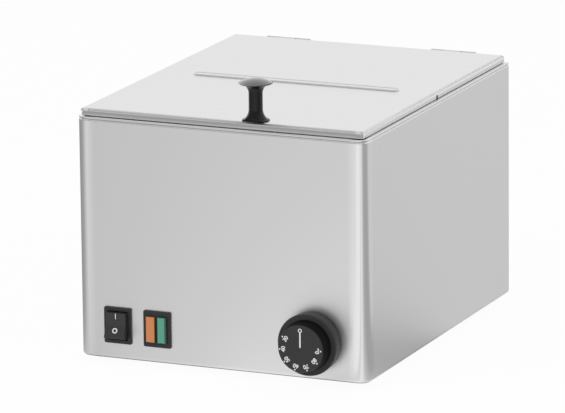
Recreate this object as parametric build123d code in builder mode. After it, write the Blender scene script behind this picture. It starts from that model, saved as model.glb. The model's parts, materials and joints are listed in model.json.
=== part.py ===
from build123d import *
from math import cos, radians, sin, tan
import os

# Sausage warmer: a steel case with a deep water basin, a perforated basket and a hinged lid.
# Millimetres. X runs to the right, Y to the back and Z up. The origin lies on the bench,
# under the middle of the whole object.

# Case
case_width = 285.0
case_depth = 352.0
case_height = 224.7          # from the case's bottom fold to the top of the deck
sheet = 1.0                  # steel of the casing, deck, base and rear panel
front_corner_radius = 10.0
top_fold_radius = 1.6
bottom_fold_radius = 3.5
bottom_flange = 14.0         # turned in along the bottom, carries the base plate
top_flange = 14.0            # turned in along the top, carries the deck
rear_frame = 16.0            # steel left round the service opening at the back

# Deck
hem_width = 12.0
hem_radius = 0.9

# Basin
basin_side_margin = 23.5     # case to the basin's mouth, at each side
basin_end_margin = 26.0      # and at the front and the back
basin_depth = 155.0
basin_corner = 28.0
basin_wall = 0.8
basin_draft = 2.0            # degrees
basin_floor_radius = 15.0
rim_edge_radius = 1.0
rim_gap = 0.5                # each side of the deck's upstand

# Lid
lid_sheet = 0.8
lid_height = 6.2
lid_gap = 1.0                # between the deck and the lid's flange
lid_rest = 0.3               # between the lid and the basin's rim
lid_side_inset = 3.7
lid_front_inset = 3.75
lid_rear_inset = 2.3
lid_bend = 2.5
lid_mitre = 6.5              # the front flange ends are cut back by this at their lower edge
lid_mitre_top = 2.5          # and by this at the bend
bead_length = 205.0
bead_width = 9.0
bead_height = 0.8
bead_slope = 40              # degrees from upright
bead_setback = 175.2         # from the case's front face
notch_setback = 179.8
notch_width = 3.6
notch_height = 3.2

# Lid knob
knob_x = 30.8
knob_setback = 12.9          # from the case's front face
knob_height = 38.8
knob_stem = 12.8
knob_base = 23.0
knob_cap = 31.5
knob_dome = 4.2
knob_base_edge = 0.6
knob_flare_foot = 10.5       # height where the lower flare meets the stem
knob_flare_head = 25.0       # height where the upper flare leaves the stem
knob_flare_reach = 4.2       # upper flare beyond the stem
knob_cap_edge = 2.2          # upper flare below the cap's rim
knob_rim = 0.6
knob_flat = 6.7              # flat on the base, in front of the axis
knob_thread = 5.0
knob_bore_depth = 16.0
knob_washer = 12.0
knob_washer_thickness = 1.0
knob_screw_head = 9.0
knob_screw_head_height = 2.6

# Hinges
hinge_spacing = 170.0        # middle to middle
hinge_width = 44.0
hinge_leaf = 1.2
hinge_leaf_drop = 30.0
hinge_leaf_run = 24.0
hinge_knuckle = 6.0          # diameter
hinge_pin = 3.0
hinge_pin_head = 4.4
hinge_pin_head_length = 1.0
hinge_share = 16.0           # width of the lid's knuckle
hinge_play = 0.3             # between knuckles
hinge_stand_off = 0.4        # knuckle to the case's rear face
pin_fit = 0.05
rivet = 4.0
rivet_head = 7.0
rivet_head_height = 1.2
rivet_spacing = 28.0

# Feet and base
foot_diameter = 22.0
foot_base = 18.0
foot_drop = 5.0
foot_setback = 46.0          # from each side of the case
foot_screw = 4.0
foot_screw_head = 7.0
foot_screw_head_height = 2.0
foot_nut_across = 7.0
foot_nut_height = 1.8
base_margin = 6.0            # base plate inside the case's outline
base_screw_inset = 4.0       # screws inside the base plate's edge
vent_length = 46.0
vent_width = 4.0
vent_pitch = 12.0
base_vents = 8
rear_vents = 9
fixing = 3.5                 # thread of the sheet screws
fixing_head = 6.5
fixing_head_height = 1.6
fixing_length = 7.0

# Control panel, measured from the case's left side and bottom
switch_x_from_left = 39.5
lamp_x_from_left = 78.9
bezel_height_up = 32.1
dial_x_from_right = 52.6
dial_height_up = 35.5

# Bezels of the switch and the lamp
bezel_width = 27.4
bezel_height = 34.1
bezel_thickness = 2.0
bezel_corner = 1.6
bezel_bevel = 0.7
window_width = 19.8
window_height = 27.4
lamp_window_width = 20.6
lamp_window_height = 25.0
socket_wall = 1.3
socket_depth = 24.0
socket_floor = 3.0
cutout_gap = 0.2             # socket to the hole in the case
blade_width = 6.3
blade_thickness = 0.8
blade_length = 8.0
blade_spacing = 7.6            # lamp
blade_pitch_x = 10.0          # switch
blade_pitch_z = 14.0
neon_diameter = 4.0
neon_length = 15.0

# Rocker
rocker_tilt = 11.0           # degrees each side of the middle
rocker_facet = 11.8
rocker_gap = 0.3             # each side in the window
rocker_pivot_lead = 5.0      # pivot to the line where the two facets meet
rocker_proud = 2.8           # pressed facet in front of the bezel
rocker_rim = 5.4             # depth of the rocker's end walls
rocker_pin = 2.4
rocker_pin_length = 1.3
rocker_pin_fit = 0.08
rocker_back = 3.0            # rocker behind its pivot
rocker_back_height = 14.0

# Lamp lenses
lens_gap = 0.25
lens_rib = 1.6
lens_proud = 3.0
lens_depth = 7.0
lens_bevel_end = 0.8
lens_bevel_side = 0.6
lens_bevel_depth = 1.4
lens_edge_radius = 0.5

# Thermostat and its dial
dial_skirt = 57.2            # at its front edge
dial_skirt_back = 55.6
dial_skirt_thickness = 12.9
dial_skirt_fall = 0.8
dial_body = 47.4
dial_face = 43.2
dial_reach = 29.4
dial_gap = 1.3               # dial to the case's front face
dial_wall = 2.2
dial_edge_radius = 1.2
dial_hub = 13.0
shaft = 6.0
shaft_flat = 1.4             # depth of the D cut
shaft_fit = 0.06
shaft_seat = 9.0             # shaft's end behind the dial's face
shaft_hole = 10.0
shaft_depth = 10.0           # inside the thermostat
thermostat_width = 44.0
thermostat_height = 38.0
thermostat_depth = 26.0
thermostat_corner = 4.0
thermostat_plate = 1.5
thermostat_plate_width = 52.0
thermostat_plate_height = 26.0
thermostat_screw_spacing = 28.0
thermostat_screw = 4.0
thermostat_screw_head = 7.4
thermostat_screw_head_height = 2.2
thermostat_screw_depth = 6.0  # into the body

# Heater
element_tube = 6.4
element_width = 170.0
element_length = 210.0
element_bend = 24.0
element_turn_down = 10.0
element_terminal_gap = 60.0
element_terminal_drop = 22.0
element_contact = 0.1
clamp_width = 190.0
clamp_length = 190.0
clamp_thickness = 1.5
clamp_corner = 8.0
stud = 5.0
stud_spacing_x = 110.0
stud_spacing_y = 130.0
nut_across = 8.0
nut_height = 4.0
stud_past_nut = 2.0
element_pin = 3.0
element_pin_length = 9.0

# Sensor bulb and capillary
bulb = 5.0
bulb_length = 70.0
bulb_front = 88.0            # its front end before the basin's middle
capillary = 2.0
capillary_straight = 26.0    # run past the element before it bends away
capillary_lead = 14.0        # straight run into the thermostat
capillary_bend = 8.0
bulb_clip_thickness = 0.6
bulb_clip_width = 12.0
bulb_clip_tab = 8.0

# Safety cut-out
cutout_back = 40.0           # behind the basin's middle
cutout_body = 16.0
cutout_height = 12.0
cutout_flange = 24.0
cutout_flange_thickness = 1.2
cutout_clearance = 28.0      # hole in the clamp plate

# Insulation
jacket_thickness = 12.0
jacket_top_drop = 14.0
jacket_bottom_rise = 18.0
jacket_gap = 0.3

# Basket
basket_side_gap = 9.0        # to the basin's wall at the height of the basket's floor
basket_rise = 15.0           # its floor above the basin's floor
basket_wall = 1.0
basket_seam = 0.1            # between its sheets
basket_height = 109.0
basket_lip = 2.4
basket_hole = 12.0
basket_hole_side = 30.0      # side wall to the first row of holes
basket_hole_end = 16.0       # end wall to the first row
basket_holes_across = 6
basket_holes_along = 9
basket_slot_length = 64.0
basket_slot_width = 9.0
basket_slot_side = 38.0      # corner to the first slot, along the side
basket_slot_end = 35.0       # and along the end
basket_slots_side = 8
basket_slots_end = 6
basket_foot = 12.0
basket_foot_spacing_x = 120.0
basket_foot_spacing_y = 180.0
guide_thickness = 3.0
guide_depth = 5.0
divider_thickness = 1.2
divider_gap = 0.3
divider_height = 96.0
divider_fold = 10.0
divider_nip = 4.0            # cut off each corner at its foot
handle_wire = 4.0
handle_width = 56.0
handle_rise = 20.0
handle_leg = 34.0            # welded length inside the basket
handle_bend = 12.0

# Rear panel and mains entry
rear_panel_top_drop = 40.0   # below the deck's top
rear_panel_margin = 8.0
rear_panel_bottom_rise = 8.0
gland_x_from_left = 50.5
gland_height_up = 32.0
gland_thread = 16.0
gland_flange = 24.0
gland_flange_thickness = 4.0
gland_dome = 20.0
gland_dome_radius = 4.0
gland_stand_out = 18.0
gland_inner_length = 9.0
gland_bore = 8.0
gland_nut_across = 22.0
gland_nut_height = 4.5
gland_fit = 0.2

# Terminal block and earth stud
block_width = 30.0
block_length = 22.0
block_height = 15.0
block_poles = 3
block_screw = 3.0             # height of the screw's head
block_screw_head = 4.6
block_screw_slot = 0.9
block_bore = 4.2
block_in = 42.0              # from the case's back face
block_beside_gland = 34.0
earth_stud_diameter = 4.0
earth_stud_height = 14.0
earth_from_block = 34.0

# Places worked out from the sizes
gland_reach = sheet + gland_stand_out
overall_depth = dial_reach + case_depth + gland_reach
front_y = dial_reach - overall_depth / 2
back_y = front_y + case_depth
middle_y = front_y + case_depth / 2
left_x = -case_width / 2
basin_width = case_width - 2 * basin_side_margin
basin_length = case_depth - 2 * basin_end_margin
case_bottom = foot_drop + sheet
deck_top = case_bottom + case_height
hem_thickness = 2 * sheet
casing_top = deck_top - hem_thickness
rim_rise = lid_gap + lid_height - lid_sheet - lid_rest
upstand_height = rim_rise - basin_wall
rim_top = deck_top + rim_rise
basin_floor = rim_top - basin_depth
basin_underside = basin_floor - basin_wall
lid_bottom = deck_top + lid_gap
lid_top = lid_bottom + lid_height
lid_underside = lid_top - lid_sheet
lid_front = front_y + lid_front_inset
lid_back = back_y - lid_rear_inset
lid_width = case_width - 2 * lid_side_inset
lid_length = lid_back - lid_front
lid_middle = (lid_front + lid_back) / 2
knob_y = front_y + knob_setback
switch_x = left_x + switch_x_from_left
lamp_x = left_x + lamp_x_from_left
bezel_z = case_bottom + bezel_height_up
dial_x = case_width / 2 - dial_x_from_right
dial_z = case_bottom + dial_height_up
panel_inside = front_y + sheet
socket_width = window_width + 2 * socket_wall
socket_height = window_height + 2 * socket_wall
hinge_y = back_y + hinge_stand_off + hinge_knuckle / 2
hinge_z = lid_underside - hinge_knuckle / 2
gland_x = left_x + gland_x_from_left
gland_z = case_bottom + gland_height_up

os.makedirs("parts", exist_ok=True)


def keep(builder, name):
    """Label a finished piece and write it."""
    builder.part.label = name
    export_step(builder.part, f"parts/{name}.step")


def front_plane(x, y, z):
    """A plane facing the viewer: its x runs right and its y up."""
    return Plane(origin=(x, y, z), x_dir=(1, 0, 0), z_dir=(0, -1, 0))


def back_plane(x, y, z):
    """A plane facing backwards, with its y up."""
    return Plane(origin=(x, y, z), x_dir=(-1, 0, 0), z_dir=(0, 1, 0))


def case_outline(inset):
    """The case seen from above, drawn in by inset: round front corners, square rear ones."""
    with BuildSketch() as outline:
        with Locations((0, middle_y)):
            Rectangle(case_width - 2 * inset, case_depth - 2 * inset)
        fillet(outline.vertices().group_by(Axis.Y)[0], front_corner_radius - inset)
    return outline.sketch


def casing_block(inset):
    """The folded casing as a solid block, drawn in by inset on every side."""
    with BuildPart() as block:
        with BuildSketch(Plane.XY.offset(case_bottom + inset)):
            add(case_outline(inset))
        extrude(amount=casing_top - case_bottom - 2 * inset)
        fillet(block.faces().sort_by(Axis.Z)[-1].edges(), top_fold_radius - inset)
        fillet(block.faces().sort_by(Axis.Z)[0].edges(), bottom_fold_radius - inset)
    return block.part


def drafted_block(grow, top, bottom):
    """The basin's outside, grown by grow, between two heights."""
    slope = tan(radians(basin_draft))
    with BuildPart() as block:
        for height in (top, bottom):
            inset = (rim_top - height) * slope - basin_wall - grow
            with BuildSketch(Plane.XY.offset(height)):
                with Locations((0, middle_y)):
                    RectangleRounded(basin_width - 2 * inset, basin_length - 2 * inset, basin_corner - inset)
        loft(ruled=True)
    return block.part


def turned(outline):
    """A solid of revolution about Z from (radius, height) corners, starting on the axis."""
    with BuildPart() as body:
        with BuildSketch(Plane.XZ):
            with BuildLine():
                Polyline(*outline, close=True)
            make_face()
        revolve(axis=Axis.Z)
    return body.part


def screw(thread, length, head, head_height):
    """A pan-head screw: the head stands on Z = 0 and the thread hangs below it."""
    with BuildPart() as fastener:
        add(turned([(0, -length), (thread / 2, -length), (thread / 2, 0), (head / 2, 0),
                    (head / 2, head_height), (0, head_height)]))
        fillet(fastener.faces().sort_by(Axis.Z)[-1].edges(), 0.45 * head_height)
    return fastener.part


def nut(thread, across, height):
    """A hexagon nut with its seat on Z = 0."""
    with BuildPart() as body:
        with BuildSketch():
            RegularPolygon(across / 2, 6, major_radius=False)
            Circle(thread / 2, mode=Mode.SUBTRACT)
        extrude(amount=height)
    return body.part


def ring(outer, inner, height):
    """A flat ring standing on Z = 0."""
    with BuildPart() as body:
        with BuildSketch():
            Circle(outer / 2)
            Circle(inner / 2, mode=Mode.SUBTRACT)
        extrude(amount=height)
    return body.part


def slot_row(count, pitch, length, width):
    """A row of slots side by side, as a sketch."""
    with BuildSketch() as row:
        with GridLocations(0, pitch, 1, count):
            SlotOverall(length, width)
    return row.sketch


# Casing: front and sides in one folded sheet
base_screw_places = [
    (x, middle_y + y)
    for x in (-(case_width / 2 - base_margin - base_screw_inset), case_width / 2 - base_margin - base_screw_inset)
    for y in (-case_depth / 3, 0, case_depth / 3)
]
rear_opening_width = case_width - 2 * rear_frame
rear_panel_height = case_height - rear_panel_top_drop - rear_panel_bottom_rise
rear_panel_middle = case_bottom + rear_panel_bottom_rise + rear_panel_height / 2
rear_opening_height = rear_panel_height - 2 * (rear_frame - rear_panel_margin)
rear_panel_width = case_width - 2 * rear_panel_margin
rear_screw_x = rear_panel_width / 2 - (rear_frame - rear_panel_margin) / 2
rear_screw_z = rear_panel_height / 2 - 3 * fixing_head / 4
hinge_places = [-hinge_spacing / 2, hinge_spacing / 2]
rivet_x = [x + side * rivet_spacing / 2 for x in hinge_places for side in (-1, 1)]
rivet_z = hinge_z - 0.6 * hinge_leaf_drop
with BuildPart() as casing_shell:
    add(casing_block(0))
    add(casing_block(sheet), mode=Mode.SUBTRACT)
    with BuildSketch(Plane.XY.offset(casing_top)):
        with Locations((0, middle_y)):
            Rectangle(case_width - 2 * top_flange, case_depth - 2 * top_flange)
    extrude(amount=-2 * sheet, mode=Mode.SUBTRACT)
    with BuildSketch(Plane.XY.offset(case_bottom)):
        with Locations((0, middle_y)):
            Rectangle(case_width - 2 * bottom_flange, case_depth - 2 * bottom_flange)
    extrude(amount=2 * sheet, mode=Mode.SUBTRACT)
    with BuildSketch(back_plane(0, back_y, rear_panel_middle)):
        Rectangle(rear_opening_width, rear_opening_height)
    extrude(amount=-2 * sheet, mode=Mode.SUBTRACT)
    with BuildSketch(front_plane(0, front_y, bezel_z)):
        with Locations((switch_x, 0), (lamp_x, 0)):
            Rectangle(socket_width + 2 * cutout_gap, socket_height + 2 * cutout_gap)
    extrude(amount=-2 * sheet, mode=Mode.SUBTRACT)
    with BuildSketch(front_plane(dial_x, front_y, dial_z)):
        Circle(shaft_hole / 2)
        with GridLocations(thermostat_screw_spacing, 0, 2, 1):
            Circle(thermostat_screw / 2 + cutout_gap)
    extrude(amount=-2 * sheet, mode=Mode.SUBTRACT)
    with BuildSketch(Plane.XY.offset(case_bottom)):
        with Locations(*base_screw_places):
            Circle(fixing / 2)
    extrude(amount=2 * sheet, mode=Mode.SUBTRACT)
    with BuildSketch(back_plane(0, back_y, rear_panel_middle)):
        with GridLocations(2 * rear_screw_x, rear_screw_z, 2, 3):
            Circle(fixing / 2)
        with Locations(*[(x, rivet_z - rear_panel_middle) for x in rivet_x]):
            Circle(rivet / 2)
    extrude(amount=-2 * sheet, mode=Mode.SUBTRACT)
keep(casing_shell, "casing_shell")

# Deck: a plate with a hemmed edge and a collar round its opening
upstand_inner_width = basin_width + 2 * (basin_wall + rim_gap)
upstand_inner_length = basin_length + 2 * (basin_wall + rim_gap)
upstand_corner = basin_corner + basin_wall + rim_gap
with BuildPart() as top_deck:
    with BuildSketch(Plane.XY.offset(casing_top)):
        add(case_outline(0))
    extrude(amount=hem_thickness)
    fillet(top_deck.faces().sort_by(Axis.Z)[-1].edges(), hem_radius)
    fillet(top_deck.faces().sort_by(Axis.Z)[0].edges(), hem_radius)
    with BuildSketch(Plane.XY.offset(casing_top)):
        with Locations((0, middle_y)):
            Rectangle(case_width - 2 * hem_width, case_depth - 2 * hem_width)
    extrude(amount=hem_thickness - sheet, mode=Mode.SUBTRACT)
    with BuildSketch(Plane.XY.offset(deck_top)):
        with Locations((0, middle_y)):
            RectangleRounded(upstand_inner_width + 2 * sheet, upstand_inner_length + 2 * sheet,
                             upstand_corner + sheet)
    extrude(amount=upstand_height)
    with BuildSketch(Plane.XY.offset(casing_top)):
        with Locations((0, middle_y)):
            RectangleRounded(upstand_inner_width, upstand_inner_length, upstand_corner)
    extrude(amount=hem_thickness + upstand_height, mode=Mode.SUBTRACT)
keep(top_deck, "top_deck")

# Basin: a drafted, drawn pan with a rim that hooks over the deck's collar
rim_width = upstand_inner_width + 2 * (sheet + rim_gap + basin_wall)
rim_length = upstand_inner_length + 2 * (sheet + rim_gap + basin_wall)
rim_corner = upstand_corner + sheet + rim_gap + basin_wall
with BuildPart() as basin_hollow:
    add(drafted_block(-basin_wall, rim_top, basin_floor))
    fillet(basin_hollow.faces().sort_by(Axis.Z)[0].edges(), basin_floor_radius - basin_wall)

with BuildPart() as water_basin:
    add(drafted_block(0, rim_top, basin_underside))
    fillet(water_basin.faces().sort_by(Axis.Z)[0].edges(), basin_floor_radius)
    with BuildSketch(Plane.XY.offset(deck_top + rim_gap)):
        with Locations((0, middle_y)):
            RectangleRounded(rim_width, rim_length, rim_corner)
            RectangleRounded(rim_width - 2 * basin_wall, rim_length - 2 * basin_wall,
                             rim_corner - basin_wall, mode=Mode.SUBTRACT)
    extrude(amount=rim_rise - rim_gap)
    with BuildSketch(Plane.XY.offset(rim_top - basin_wall)):
        with Locations((0, middle_y)):
            RectangleRounded(rim_width, rim_length, rim_corner)
            RectangleRounded(basin_width, basin_length, basin_corner, mode=Mode.SUBTRACT)
    extrude(amount=basin_wall)
    rim_edges = water_basin.faces().sort_by(Axis.Z)[-1].outer_wire().edges()
    fillet(rim_edges, min(rim_edge_radius, 0.9 * basin_wall))
    add(basin_hollow.part, mode=Mode.SUBTRACT)
keep(water_basin, "water_basin")

# Insulation: a fibre mat wrapped round the basin
jacket_top = deck_top - jacket_top_drop
jacket_bottom = basin_floor + jacket_bottom_rise
with BuildPart() as insulation_jacket:
    add(drafted_block(jacket_gap + jacket_thickness, jacket_top, jacket_bottom))
    add(drafted_block(jacket_gap, jacket_top, jacket_bottom), mode=Mode.SUBTRACT)
keep(insulation_jacket, "insulation_jacket")

# Rear panel: a screwed cover with a bank of vent slots and the mains entry
with BuildPart() as rear_panel:
    with BuildSketch(back_plane(0, back_y, rear_panel_middle)):
        Rectangle(rear_panel_width, rear_panel_height)
        with GridLocations(2 * rear_screw_x, rear_screw_z, 2, 3):
            Circle(fixing / 2, mode=Mode.SUBTRACT)
        with Locations((-gland_x, gland_z - rear_panel_middle)):
            Circle(gland_thread / 2 + gland_fit, mode=Mode.SUBTRACT)
    extrude(amount=sheet)
    with BuildSketch(back_plane(0, back_y, rear_panel_middle)):
        with Locations((-vent_length / 2 - vent_width, 0), (vent_length / 2 + vent_width, 0)):
            add(slot_row(rear_vents, vent_pitch, vent_length, vent_width))
    extrude(amount=sheet, mode=Mode.SUBTRACT)
keep(rear_panel, "rear_panel")

# Base plate, under the turned-in bottom flange
base_width = case_width - 2 * base_margin
base_length = case_depth - 2 * base_margin
foot_x = case_width / 2 - foot_setback
foot_y = case_depth / 2 - foot_setback
with BuildPart() as base_plate:
    with BuildSketch(Plane.XY.offset(case_bottom)):
        with Locations((0, middle_y)):
            RectangleRounded(base_width, base_length, front_corner_radius - base_margin / 2)
            with GridLocations(2 * foot_x, 2 * foot_y, 2, 2):
                Circle(foot_screw / 2, mode=Mode.SUBTRACT)
        with Locations(*base_screw_places):
            Circle(fixing / 2, mode=Mode.SUBTRACT)
    extrude(amount=-sheet)
    with BuildSketch(Plane.XY.offset(case_bottom)):
        with Locations((-vent_length / 2 - vent_width, middle_y), (vent_length / 2 + vent_width, middle_y)):
            add(slot_row(base_vents, vent_pitch, vent_length, vent_width))
    extrude(amount=-sheet, mode=Mode.SUBTRACT)
keep(base_plate, "base_plate")

# Feet: four rubber buffers, each hollow for its screw head
foot_places = [
    (x, middle_y + y)
    for x in (-foot_x, foot_x)
    for y in (-foot_y, foot_y)
]
foot = turned([(foot_screw / 2, foot_drop / 2), (foot_screw_head / 2 + cutout_gap, foot_drop / 2),
               (foot_screw_head / 2 + cutout_gap, 0), (foot_base / 2, 0),
               (foot_diameter / 2, foot_drop), (foot_screw / 2, foot_drop)])
with BuildPart() as rubber_feet:
    with Locations(*foot_places):
        add(foot)
keep(rubber_feet, "rubber_feet")

# Foot screws: heads up inside the feet, threads through the base plate
foot_screw_part = screw(foot_screw, foot_drop / 2 + 3 * sheet, foot_screw_head, foot_screw_head_height)
with BuildPart() as foot_screws:
    with Locations(*[Plane((x, y, foot_drop / 2), z_dir=(0, 0, -1)) for x, y in foot_places]):
        add(foot_screw_part)
keep(foot_screws, "foot_screws")

# Nuts on the foot screws
with BuildPart() as foot_nuts:
    with Locations(*[(x, y, case_bottom) for x, y in foot_places]):
        add(nut(foot_screw, foot_nut_across, foot_nut_height))
keep(foot_nuts, "foot_nuts")

# Sheet screws of the base plate and of the rear panel
sheet_screw = screw(fixing, fixing_length, fixing_head, fixing_head_height)
with BuildPart() as base_screws:
    with Locations(*[Plane((x, y, foot_drop), z_dir=(0, 0, -1)) for x, y in base_screw_places]):
        add(sheet_screw)
keep(base_screws, "base_screws")

with BuildPart() as rear_panel_screws:
    with Locations(*[
        back_plane(x, back_y + sheet, rear_panel_middle + z)
        for x in (-rear_screw_x, rear_screw_x)
        for z in (-rear_screw_z, 0, rear_screw_z)
    ]):
        add(sheet_screw)
keep(rear_panel_screws, "rear_panel_screws")

# Front corners of the lid where the folded flanges are cut back, wide below and narrow above
mitre_levels = [(lid_bottom, lid_mitre), (lid_top - lid_bend, lid_mitre_top)]
with BuildPart() as lid_mitres:
    for level, leg in mitre_levels:
        with BuildSketch(Plane.XY.offset(level)):
            with BuildLine():
                Polyline((lid_width / 2, lid_front), (lid_width / 2, lid_front + leg),
                         (lid_width / 2 - leg, lid_front), close=True)
            make_face()
    loft(ruled=True)
    mirror(about=Plane.YZ)

# Lid: one folded sheet with a pressed bead, a notch in each side flange and open front corners
bead_y = front_y + bead_setback
with BuildPart() as lid_panel:
    with BuildSketch(Plane.XY.offset(lid_bottom)):
        with Locations((0, lid_middle)):
            Rectangle(lid_width, lid_length)
    extrude(amount=lid_height)
    fillet(lid_panel.faces().sort_by(Axis.Z)[-1].edges(), lid_bend)
    offset(amount=-lid_sheet, openings=lid_panel.faces().sort_by(Axis.Z)[0])
    with BuildSketch(Plane.XY.offset(lid_underside)):
        with Locations((0, bead_y)):
            SlotOverall(bead_length, bead_width)
    extrude(amount=bead_height + lid_sheet, taper=bead_slope)
    with BuildSketch(Plane.XY.offset(lid_underside)):
        with Locations((0, bead_y)):
            SlotOverall(bead_length - 2 * lid_sheet, bead_width - 2 * lid_sheet)
    extrude(amount=bead_height, taper=bead_slope, mode=Mode.SUBTRACT)
    with BuildSketch(Plane.YZ.offset(-lid_width / 2)):
        with Locations((front_y + notch_setback, lid_bottom)):
            RectangleRounded(notch_width, 2 * notch_height, 0.45 * notch_width)
    extrude(amount=lid_width, mode=Mode.SUBTRACT)
    with BuildSketch(Plane.XY.offset(lid_bottom)):
        with Locations(*[(x, lid_back) for x in hinge_places]):
            Rectangle(hinge_share + 4 * hinge_play, 2 * lid_bend)
    extrude(amount=lid_underside - lid_bottom, mode=Mode.SUBTRACT)
    with BuildSketch(Plane.XY.offset(lid_underside)):
        with Locations((knob_x, knob_y)):
            Circle(knob_thread / 2 + cutout_gap)
    extrude(amount=lid_sheet, mode=Mode.SUBTRACT)
    add(lid_mitres.part, mode=Mode.SUBTRACT)
keep(lid_panel, "lid_panel")

# Lid knob: a moulded trumpet with a domed cap and a base trimmed along the lid's front fold
stem_radius = knob_stem / 2
cap_rim = knob_height - knob_dome
with BuildPart() as lid_knob:
    with BuildSketch(Plane.XZ):
        with BuildLine():
            Line((0, 0), (knob_base / 2, 0))
            Line((knob_base / 2, 0), (knob_base / 2, knob_base_edge))
            TangentArc((stem_radius, knob_flare_foot), (knob_base / 2, knob_base_edge), tangent=(0, -1))
            Line((stem_radius, knob_flare_foot), (stem_radius, knob_flare_head))
            flare = TangentArc((stem_radius, knob_flare_head),
                               (stem_radius + knob_flare_reach, cap_rim - knob_cap_edge), tangent=(0, 1))
            Line(flare @ 1, (knob_cap / 2 - knob_rim, cap_rim - knob_rim))
            Line((knob_cap / 2 - knob_rim, cap_rim - knob_rim), (knob_cap / 2, cap_rim))
            RadiusArc((knob_cap / 2, cap_rim), (0, knob_height),
                      -((knob_cap / 2) ** 2 + knob_dome ** 2) / (2 * knob_dome))
            Line((0, knob_height), (0, 0))
        make_face()
    revolve(axis=Axis.Z)
    with BuildSketch(Plane.XY):
        Circle(knob_thread / 2)
    extrude(amount=knob_bore_depth, mode=Mode.SUBTRACT)
    with BuildSketch(Plane.XY):
        with Locations((0, -knob_flat - knob_cap / 2)):
            Rectangle(2 * knob_cap, knob_cap)
    extrude(amount=1.1 * knob_flare_foot, mode=Mode.SUBTRACT)
lid_knob.part = lid_knob.part.moved(Location((knob_x, knob_y, lid_top)))
keep(lid_knob, "lid_knob")

# Washer and screw that hold the knob from below the lid
with BuildPart() as lid_knob_washer:
    with Locations((knob_x, knob_y, lid_underside - knob_washer_thickness)):
        add(ring(knob_washer, knob_thread + 2 * cutout_gap, knob_washer_thickness))
keep(lid_knob_washer, "lid_knob_washer")

knob_screw_length = knob_washer_thickness + lid_sheet + 0.8 * knob_bore_depth
with BuildPart() as lid_knob_screw:
    with Locations(Plane((knob_x, knob_y, lid_underside - knob_washer_thickness), z_dir=(0, 0, -1))):
        add(screw(knob_thread, knob_screw_length, knob_screw_head, knob_screw_head_height))
keep(lid_knob_screw, "lid_knob_screw")

# Hinges: each has a leaf on the case with two knuckles and a leaf under the lid with one
knuckle = hinge_knuckle / 2
with BuildPart() as case_leaf:
    with BuildSketch(back_plane(0, back_y, hinge_z - hinge_leaf_drop / 2)):
        Rectangle(hinge_width, hinge_leaf_drop)
        with GridLocations(rivet_spacing, 0, 2, 1):
            with Locations((0, rivet_z - hinge_z + hinge_leaf_drop / 2)):
                Circle(rivet / 2, mode=Mode.SUBTRACT)
    extrude(amount=hinge_leaf)
    leaf_corners = case_leaf.edges().filter_by(Axis.Y).group_by(Axis.Z)[0]
    fillet(leaf_corners, hinge_knuckle / 2)
    with BuildSketch(Plane.YZ):
        with Locations((hinge_y, hinge_z)):
            Circle(knuckle)
    extrude(amount=hinge_width / 2, both=True)
    with BuildSketch(Plane.YZ):
        with Locations((hinge_y, hinge_z)):
            Rectangle(4 * knuckle, 2 * knuckle + 2 * hinge_play)
    extrude(amount=hinge_share / 2 + hinge_play, both=True, mode=Mode.SUBTRACT)
    with BuildSketch(Plane.YZ):
        with Locations((hinge_y, hinge_z)):
            Circle(hinge_pin / 2)
    extrude(amount=hinge_width / 2, both=True, mode=Mode.SUBTRACT)

with BuildPart() as lid_leaf:
    with BuildSketch(Plane.YZ):
        with Locations((hinge_y, hinge_z)):
            Circle(knuckle)
        with Locations((hinge_y, lid_underside)):
            Rectangle(hinge_leaf_run, hinge_leaf, align=(Align.MAX, Align.MAX))
        with Locations((hinge_y, hinge_z)):
            Circle(hinge_pin / 2 + pin_fit, mode=Mode.SUBTRACT)
    extrude(amount=hinge_share / 2, both=True)

with BuildPart() as hinge_pin_part:
    with BuildSketch(Plane.YZ):
        with Locations((hinge_y, hinge_z)):
            Circle(hinge_pin / 2)
    extrude(amount=hinge_width / 2, both=True)
    for side in (-1, 1):
        with BuildSketch(Plane.YZ.offset(side * hinge_width / 2)):
            with Locations((hinge_y, hinge_z)):
                Circle(hinge_pin_head / 2)
        extrude(amount=side * hinge_pin_head_length)

with BuildPart() as hinge_case_leaves:
    with Locations(*[(x, 0, 0) for x in hinge_places]):
        add(case_leaf.part)
keep(hinge_case_leaves, "hinge_case_leaves")

with BuildPart() as hinge_lid_leaves:
    with Locations(*[(x, 0, 0) for x in hinge_places]):
        add(lid_leaf.part)
keep(hinge_lid_leaves, "hinge_lid_leaves")

with BuildPart() as hinge_pins:
    with Locations(*[(x, 0, 0) for x in hinge_places]):
        add(hinge_pin_part.part)
keep(hinge_pins, "hinge_pins")

rivet_part = screw(rivet, hinge_leaf + 2 * sheet, rivet_head, rivet_head_height)
with BuildPart() as hinge_rivets:
    with Locations(*[back_plane(x, back_y + hinge_leaf, rivet_z) for x in rivet_x]):
        add(rivet_part)
keep(hinge_rivets, "hinge_rivets")


def panel_housing(window, height, blades):
    """A snap-in housing seen from the front: bezel, socket and window, with holes for blades."""
    with BuildPart() as housing:
        with BuildSketch():
            RectangleRounded(bezel_width, bezel_height, bezel_corner)
        extrude(amount=bezel_thickness)
        chamfer(housing.faces().sort_by(Axis.Z)[-1].edges(), bezel_bevel)
        with BuildSketch():
            Rectangle(socket_width, socket_height)
        extrude(amount=-socket_depth)
        with BuildSketch(Plane.XY.offset(bezel_thickness)):
            Rectangle(window, height)
        extrude(amount=-(bezel_thickness + socket_depth - socket_floor), mode=Mode.SUBTRACT)
        add(blades, mode=Mode.SUBTRACT)
    return housing.part


def blade_set(columns, column_pitch, rows, row_pitch, depth):
    """Push-on blades through a floor of the given thickness, pointing away from the viewer."""
    with BuildPart() as blades:
        with BuildSketch(Plane.XY.offset(-socket_depth + depth)):
            with GridLocations(column_pitch, row_pitch, columns, rows):
                Rectangle(blade_width, blade_thickness)
        extrude(amount=-(depth + blade_length))
    return blades.part


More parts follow.
